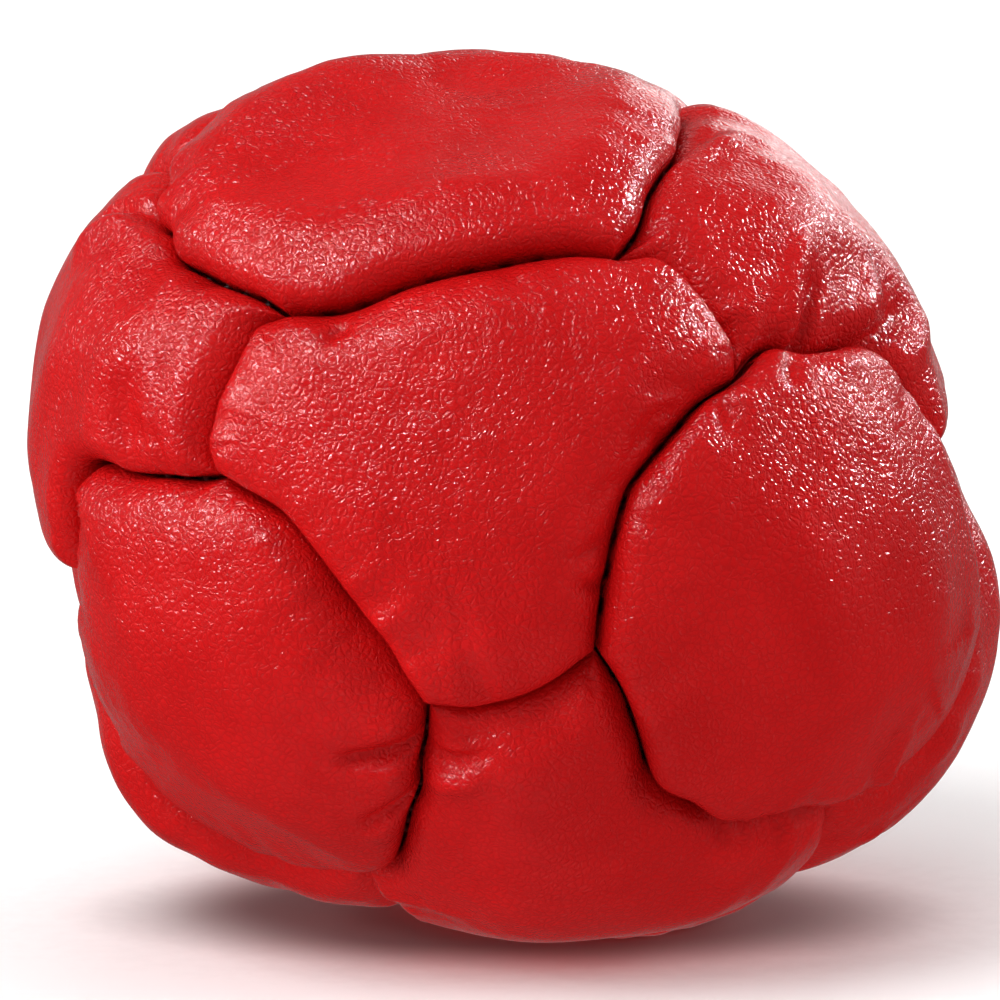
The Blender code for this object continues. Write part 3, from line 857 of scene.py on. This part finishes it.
def make_thread(key, material):
    """One run of stitches: three strands twisted to a round thread, with rounded ends."""
    path = rounded_path(stitch_path(key))
    heading = unit(np.gradient(path, axis=0))
    side = unit(np.cross(heading[0], FIRST_SIDE))
    rings = []
    around = np.linspace(0, 2 * math.pi, THREAD_SIDES, endpoint=False)
    for index, (point, ahead) in enumerate(zip(path, heading)):
        side = unit(side - ahead * (side @ ahead))
        other = np.cross(ahead, side)
        twist = 2 * math.pi * index * THREAD_STEP / TWIST
        size = THREAD / 2 * (1 - STRAND_DEPTH_SHARE * (0.5 - 0.5 * np.cos(STRANDS * around - twist)))
        end = min(index, len(path) - 1 - index) * THREAD_STEP / (THREAD / 2)
        size = size * math.sqrt(max(1 - max(1 - end, 0) ** 2, THREAD_END_SHARE))
        ring = np.outer(size * np.cos(around), side)
        rings.append(point + ring + np.outer(size * np.sin(around), other))
    body = Body()
    count, sides = len(rings), THREAD_SIDES
    i, j = np.meshgrid(np.arange(count - 1), np.arange(sides), indexing="ij")
    now, after = (i * sides + j).ravel(), (i * sides + (j + 1) % sides).ravel()
    body.add(np.concatenate(rings), np.stack((now, after, after + sides, now + sides), 1))
    ends = [list(range(sides))[::-1], list(range((count - 1) * sides, count * sides))]
    label = "_".join(("stitching", *key))
    item = body.make(label + "_thread", material, ends)
    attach(item, "root")
    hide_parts(label)


SAND_GRAIN = 0.00006
SAND_GRAIN_SIZE = 0.0009
SAND_SEED = 5
SAND_DROP_SHARE = 0.02
CHANNEL_SLOPE = 0.0005


def sand_face(name, directions):
    """The sand lies under the leather, and keeps clear of the turned-in edges and their thread."""
    face, _, gap, _ = surface(name, directions)
    wall = BACK_SHARE * MIDDLE_GAPS[name] + THREAD + 3 * THREAD_CLEARANCE
    deep = TIP_DEPTH + THREAD + 2 * THREAD_CLEARANCE
    open_share = smooth((gap - wall) / CHANNEL_SLOPE)
    under_leather = LEATHER + SAND_CLEARANCE + SAND_GRAIN * 2
    low = body_radius(directions) * (1 - SAND_DROP_SHARE) - deep
    radius = low + (face - under_leather - low) * open_share
    radius += SAND_GRAIN * waves(directions * radius[:, None], SAND_GRAIN_SIZE, SAND_SEED)
    points = directions * radius[:, None]
    bottom = FLOOR + LEATHER + SAND_CLEARANCE
    sunk = points[:, 2] < bottom
    points[sunk] *= (bottom / points[sunk, 2])[:, None]
    return points


def make_sand(material):
    body = Body()
    for name in PANELS:
        for grid in corner_grids(name, 0.0):
            grid = grid[::2, ::2]
            points = sand_face(name, grid.reshape(-1, 3))
            body.add_sheet(points.reshape(grid.shape))
    item = body.make("packed_sand", material)
    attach(item, "root")
    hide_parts("sand_filling")


class Link:
    """A socket in a material, which takes part in sums and adds the Math nodes that they need."""

    def __init__(self, tree, socket):
        self.tree = tree
        self.socket = socket

    def add(self, kind, settings=None, inputs=None, output=0):
        """Adds a node: its settings first, then the values or links of its sockets."""
        node = self.tree.nodes.new(kind)
        for name, value in (settings or {}).items():
            if name == "stops":
                for stop, (place, colour) in zip(node.color_ramp.elements, value):
                    stop.position = place
                    stop.color = (*colour, 1)
            else:
                setattr(node, name, value)
        for name, value in (inputs or {}).items():
            if isinstance(value, Link):
                self.tree.links.new(value.socket, node.inputs[name])
            else:
                node.inputs[name].default_value = value
        return Link(self.tree, node.outputs[output])

    def math(self, operation, *values):
        inputs = dict(enumerate(values))
        return self.add("ShaderNodeMath", {"operation": operation}, inputs)

    def __add__(self, other):
        return self.math("ADD", self, other)

    def __sub__(self, other):
        return self.math("SUBTRACT", self, other)

    def __mul__(self, other):
        return self.math("MULTIPLY", self, other)

    def __rsub__(self, other):
        return self.math("SUBTRACT", other, self)

    __radd__ = __add__
    __rmul__ = __mul__

    def ramp(self, low, high):
        """0 below low, 1 above high, and smooth between them."""
        inputs = {"Value": self, "From Min": low, "From Max": high}
        settings = {"interpolation_type": "SMOOTHSTEP"}
        return self.add("ShaderNodeMapRange", settings, inputs)

    def noise(self, size, detail, output=0):
        """Noise over this place, with lumps of about the given size."""
        inputs = {"Vector": self, "Scale": 1 / size, "Detail": detail}
        return self.add("ShaderNodeTexNoise", None, inputs, output)

    def bump(self, strength, depth):
        """The normal that this height gives the surface."""
        inputs = {"Strength": strength, "Distance": depth, "Height": self}
        return self.add("ShaderNodeBump", None, inputs)

    def between(self, first, second):
        """A colour or link mixed from first to second by this share."""
        settings = {"data_type": "RGBA"}
        names = dict(zip((6, 7), (first, second)))
        return self.add("ShaderNodeMix", settings, {0: self, **names}, output=2)


def start_material(name):
    """A new material: its surface shader, and the place on the piece as a link."""
    material = bpy.data.materials.new(name)
    material.use_nodes = True
    tree = material.node_tree
    surface = tree.nodes["Principled BSDF"]
    place = Link(tree, tree.nodes.new("ShaderNodeTexCoord").outputs["Object"])
    return material, surface, place


def feed(place, surface, **values):
    """Sets the surface's sockets, whose names have _ for a space, to values or links."""
    for name, value in values.items():
        socket = surface.inputs[name.replace("_", " ")]
        if isinstance(value, Link):
            place.tree.links.new(value.socket, socket)
        else:
            socket.default_value = value


RED = (0.60, 0.0065, 0.0070, 1)
DEEP_RED = (0.54, 0.0050, 0.0055, 1)
# Painted shade colour for the grain's creases
CREASE_SHADE_RED = (0.36, 0.0030, 0.0035, 1)
PEBBLE = 0.00042
FINE_PEBBLE = 0.00019
GRAIN_DEPTH = 0.00004
PEBBLE_SLOPE = 0.32
FINE_SLOPE = 0.30
FINE_SHARE = 0.3
DUST_SIZE = 0.00012
DUST_SHARE = 0.12
DRIFT_SIZE = 0.0012
DRIFT = (0.0006, 0.0006, 0.0006)
PATCH_SIZE = 0.006
DIP_WIDTH = 0.12
CREASE_SHADE_SHARE = 0.35
SMOOTHEST = 0.13
PATCH_ROUGHNESS = 0.07
DIP_ROUGHNESS = 0.04


def leather_material():
    """Glossy red leather with a fine pebbled grain, a little uneven in colour and shine, and painted
    shade in the grain's creases.
    """
    material, surface, place = start_material("red_leather")
    drift = place.noise(DRIFT_SIZE, 2.0, 1)
    centred = place.add("ShaderNodeVectorMath", {"operation": "SUBTRACT"}, {0: drift, 1: (0.5, 0.5, 0.5)})
    shifted = place.add(
        "ShaderNodeVectorMath",
        {"operation": "MULTIPLY_ADD"},
        {0: centred, 1: DRIFT, 2: place},
    )
    cells = place.add(
        "ShaderNodeTexVoronoi",
        {"feature": "DISTANCE_TO_EDGE"},
        {"Vector": shifted, "Scale": 1 / PEBBLE, "Randomness": 1.0},
    )
    fine = place.add(
        "ShaderNodeTexVoronoi",
        {"feature": "DISTANCE_TO_EDGE"},
        {"Vector": shifted, "Scale": 1 / FINE_PEBBLE, "Randomness": 1.0},
    )
    dust = place.noise(DUST_SIZE, 2.0)
    grain = cells.ramp(0.0, PEBBLE_SLOPE) + FINE_SHARE * fine.ramp(0.0, FINE_SLOPE) + DUST_SHARE * dust
    normal = grain.bump(1.0, GRAIN_DEPTH)
    patches = place.noise(PATCH_SIZE, 3.0)
    dips = 1 - cells.ramp(0.0, DIP_WIDTH)
    colour = patches.ramp(0.35, 0.65).between(DEEP_RED, RED)
    # Painted shade: the colour darkens in the grain's creases
    colour = (CREASE_SHADE_SHARE * dips).between(colour, CREASE_SHADE_RED)
    rough = SMOOTHEST + PATCH_ROUGHNESS * patches + DIP_ROUGHNESS * dips
    feed(place, surface, Base_Color=colour, Roughness=rough, Normal=normal)
    surface.inputs["Specular IOR Level"].default_value = 0.4
    return material


THREAD_RED = (0.13, 0.006, 0.006, 1)
WORN_THREAD_RED = (0.22, 0.012, 0.010, 1)
FIBRE_SIZE = 0.00015
FIBRE_DEPTH = 0.00002


def thread_material():
    """Dark red waxed thread: its fibres a little uneven in colour and shine."""
    material, surface, place = start_material("waxed_thread")
    fibres = place.noise(FIBRE_SIZE, 3.0)
    worn = fibres.ramp(0.35, 0.70)
    normal = fibres.bump(0.6, FIBRE_DEPTH)
    colour = worn.between(THREAD_RED, WORN_THREAD_RED)
    feed(place, surface, Base_Color=colour, Roughness=0.5 + 0.2 * worn, Normal=normal)
    return material


GRAIN_SIZE = 0.00045
DARK_SAND = (0.36, 0.26, 0.15, 1)
PALE_SAND = (0.66, 0.57, 0.41, 1)
SAND_GAP_SHADE = (0.20, 0.15, 0.09, 1)


def sand_material():
    """Packed dry sand: grains from dark to pale with painted shade in the gaps between them, each with
    its own face.
    """
    material, surface, place = start_material("packed_sand")
    spots = {"Vector": place, "Scale": 1 / GRAIN_SIZE, "Randomness": 1.0}
    grains = place.add("ShaderNodeTexVoronoi", None, spots, 1)
    parts = place.add("ShaderNodeSeparateColor", None, {"Color": grains})
    edges = place.add("ShaderNodeTexVoronoi", {"feature": "DISTANCE_TO_EDGE"}, spots)
    colour = parts.ramp(0.30, 0.75).between(DARK_SAND, PALE_SAND)
    # Painted shade: the colour darkens in the gaps between grains
    colour = edges.ramp(0.0, 0.10).between(SAND_GAP_SHADE, colour)
    height = edges.ramp(0.0, 0.35) + 0.5 * parts
    normal = height.bump(0.8, GRAIN_SIZE / 4)
    feed(place, surface, Base_Color=colour, Roughness=0.75 + 0.2 * parts, Normal=normal)
    return material


# Floor: the painted shadow and glow round the ball follow a stretched round patch, and each start and end
# is a distance in it
PAPER_SIZE = 0.0012
DIM_PAPER = (0.93, 0.93, 0.93, 1)
BRIGHT_PAPER = (0.96, 0.96, 0.96, 1)
SHADOW_SHAPE = (0.7, 1.4, 1.0)
CONTACT_START = 0.010
CONTACT_END = 0.019
# Painted shadow colour close under the ball
PAINTED_CONTACT_SHADOW = (0.30, 0.28, 0.28, 1)
GLOW_START = 0.008
GLOW_END = 0.034
NEAR_GLOW = (0.0, 0.0, 0.0, 1)
FAR_GLOW = (0.08, 0.08, 0.08, 1)
FLOOR_SIZE = 6


def floor_material():
    """Matt white paper, with a painted shadow under the ball and a painted glow that makes it plain white
    away from it.
    """
    material, surface, place = start_material("white_paper")
    fibres = place.noise(PAPER_SIZE, 4.0)
    stretched = place.add("ShaderNodeVectorMath", {"operation": "MULTIPLY"}, {0: place, 1: SHADOW_SHAPE})
    distance = place.add("ShaderNodeVectorMath", {"operation": "LENGTH"}, {0: stretched}, 1)
    # Painted light: the paper glows, not at all under the ball and more away from it
    glow = distance.ramp(GLOW_START, GLOW_END).between(NEAR_GLOW, FAR_GLOW)
    colour = fibres.ramp(0.3, 0.7).between(DIM_PAPER, BRIGHT_PAPER)
    # Painted shadow: the paper's colour darkens close under the ball
    colour = distance.ramp(CONTACT_START, CONTACT_END).between(PAINTED_CONTACT_SHADOW, colour)
    feed(place, surface, Base_Color=colour, Roughness=0.75 + 0.1 * fibres, Emission_Color=glow)
    surface.inputs["Emission Strength"].default_value = 1.0
    surface.inputs["Specular IOR Level"].default_value = 0.1
    return material


leather = leather_material()
for name in PANELS:
    make_panel(name, leather)
thread = thread_material()
for key in SEAMS:
    make_thread(key, thread)
make_sand(sand_material())

# Soft lights and small glint lights: bearing and height in degrees, distance, size and brightness
WORLD_LIGHT = 0.39
MIRRORED_WORLD_LIGHT = 0.06
MIRRORED_REAR_LIGHT = 0.28
SOFT_LIGHTS = (
    ("top_light", -55, 54, 1.3, 0.7, 0.51),
    ("crown_light", 20, 82, 1.3, 0.8, 0.07),
    ("left_fill", -85, 6, 1.3, 0.9, 0.61),
    ("right_fill", 92, 14, 1.3, 0.9, 0.50),
    ("back_light", 165, 45, 1.3, 0.8, 0.26),
    ("front_fill", -20, 45, 1.4, 1.0, 0.18),
    ("floor_bounce", -15, -57, 1.3, 1.0, 0.45),
)
GLINT_LIGHTS = (
    ("right_glint", 124, 27, 1.2, 0.19, 0.85),
    ("left_glint", -86, 26, 1.2, 0.19, 0.55),
    ("top_glint", -60, 57, 1.2, 0.18, 0.6),
    ("back_glint", 163, 10, 1.3, 0.45, 0.12),
)

# Camera, floor and light
scene = bpy.context.scene
scene.view_settings.view_transform = "Standard"
camera_data = bpy.data.cameras.new("camera")
camera_data.sensor_width = SENSOR * 1000
camera_data.lens = LENS * 1000
camera = bpy.data.objects.new("camera", camera_data)
scene.collection.objects.link(camera)
forward = Vector((0, math.cos(CAMERA_RISE), -math.sin(CAMERA_RISE)))
per_pixel = SENSOR / PICTURE_SIZE / LENS * CAMERA_DISTANCE
upward = Vector((0, math.sin(CAMERA_RISE), math.cos(CAMERA_RISE)))
shift = Vector((-1, 0, 0)) * (MIDDLE_X - PICTURE_SIZE / 2) * per_pixel
shift += upward * (MIDDLE_Y - PICTURE_SIZE / 2) * per_pixel
camera.location = Vector(BALL_MIDDLE) - forward * CAMERA_DISTANCE + shift
camera.rotation_euler = forward.to_track_quat("-Z", "Y").to_euler()
camera_data.clip_start = NEAREST_SEEN
scene.camera = camera

bpy.ops.mesh.primitive_plane_add(size=FLOOR_SIZE, location=(0, 0, 0))
floor = bpy.context.object
floor.name = "studio_floor"
floor.data.materials.append(floor_material())
floor.visible_glossy = False
floor.visible_diffuse = False
floor.visible_shadow = False

world = bpy.data.worlds.new("studio")
world.use_nodes = True
scene.world = world
tree = world.node_tree
path = tree.nodes.new("ShaderNodeLightPath")
seen, mirrored = (Link(tree, path.outputs[kind]) for kind in ("Is Camera Ray", "Is Glossy Ray"))
direction = Link(tree, tree.nodes.new("ShaderNodeTexCoord").outputs["Generated"])
rearward = direction.add("ShaderNodeSeparateXYZ", None, {0: direction}, 1).ramp(0.75, 1.0)
reflected = MIRRORED_WORLD_LIGHT + rearward * (MIRRORED_REAR_LIGHT - MIRRORED_WORLD_LIGHT)
strength = seen * (1.0 - WORLD_LIGHT) + mirrored * (reflected - WORLD_LIGHT) + WORLD_LIGHT
tree.nodes["Background"].inputs["Color"].default_value = (1, 1, 1, 1)
tree.links.new(strength.socket, tree.nodes["Background"].inputs["Strength"])


def add_light(name, bearing, rise, distance, size, brightness):
    """A light aimed at the ball; brightness is about what it adds to a white face turned to it."""
    data = bpy.data.lights.new(name, "AREA")
    data.size = size
    data.energy = brightness * math.pi**2 * distance**2
    item = bpy.data.objects.new(name, data)
    toward = compass(bearing, rise)
    item.location = Vector(BALL_MIDDLE) + toward * distance
    item.rotation_euler = (-toward).to_track_quat("-Z", "Y").to_euler()
    scene.collection.objects.link(item)
    return item


for light in SOFT_LIGHTS:
    add_light(*light).visible_glossy = False
for light in GLINT_LIGHTS:
    add_light(*light).visible_diffuse = False
